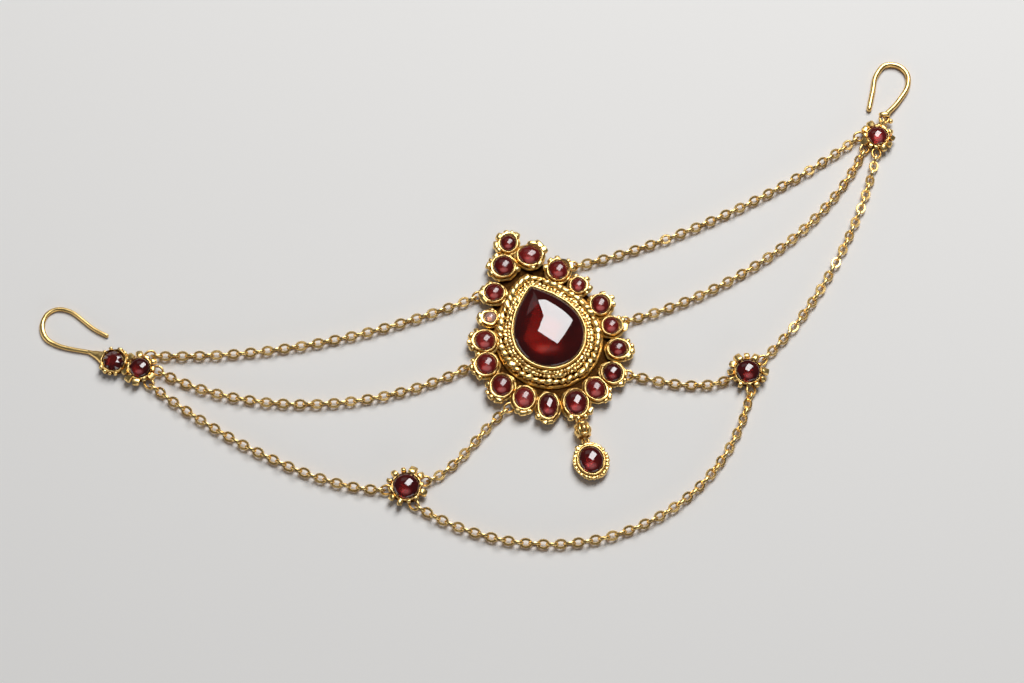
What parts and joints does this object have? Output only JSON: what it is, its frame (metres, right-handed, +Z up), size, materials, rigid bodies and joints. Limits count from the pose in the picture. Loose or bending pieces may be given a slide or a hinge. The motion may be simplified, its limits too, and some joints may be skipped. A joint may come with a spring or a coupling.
{
  "type": "matha patti",
  "caption": "Gold head ornament: a pear-shaped pendant ringed with red cabochons, a small drop, fanned link chains with flower spreaders, and a wire hook at each end.",
  "frame": {"origin": "on the underside of the pendant's back plate, on the pendant's axis", "axes": "+Z up from the table the ornament lies on, +Y towards the pendant's tip, +X to the right along the line of the hooks"},
  "size_m": [0.2337, 0.1054, 0.0066],
  "materials": {
    "gold": "polished yellow gold, hand worked, darker in the hollows",
    "garnet": "polished deep red garnet, cabochon cut",
    "pale_garnet": "polished pale pink stone, cabochon cut"
  },
  "bodies": {
    "root": {"pendant_setting": "gold", "drop_bail": "gold", "drop_setting": "gold", "left_hook_setting": "gold", "right_flower_setting": "gold", "right_hook": "gold", "left_spreader_setting": "gold", "right_spreader_setting": "gold", "chain_left_upper": "gold", "chain_left_middle": "gold", "chain_left_lower": "gold", "chain_left_inner": "gold", "chain_front": "gold", "chain_right_inner": "gold", "chain_right_lower": "gold", "chain_right_middle": "gold", "chain_right_upper": "gold", "centre_stone": "garnet", "rim_stone_01": "garnet", "rim_stone_02": "garnet", "rim_stone_03": "garnet", "rim_stone_04": "pale_garnet", "rim_stone_05": "garnet", "rim_stone_06": "garnet", "rim_stone_07": "garnet", "rim_stone_08": "garnet", "rim_stone_09": "garnet", "rim_stone_10": "garnet", "rim_stone_11": "garnet", "rim_stone_12": "garnet", "rim_stone_13": "garnet", "rim_stone_14": "garnet", "rim_stone_15": "garnet", "rim_stone_16": "garnet", "rim_stone_17": "garnet", "rim_stone_18": "garnet", "drop_stone": "garnet", "left_collet_stone": "garnet", "left_flower_stone": "garnet", "right_flower_stone": "garnet", "left_spreader_stone": "garnet", "right_spreader_stone": "garnet"}
  },
  "joints": []
}
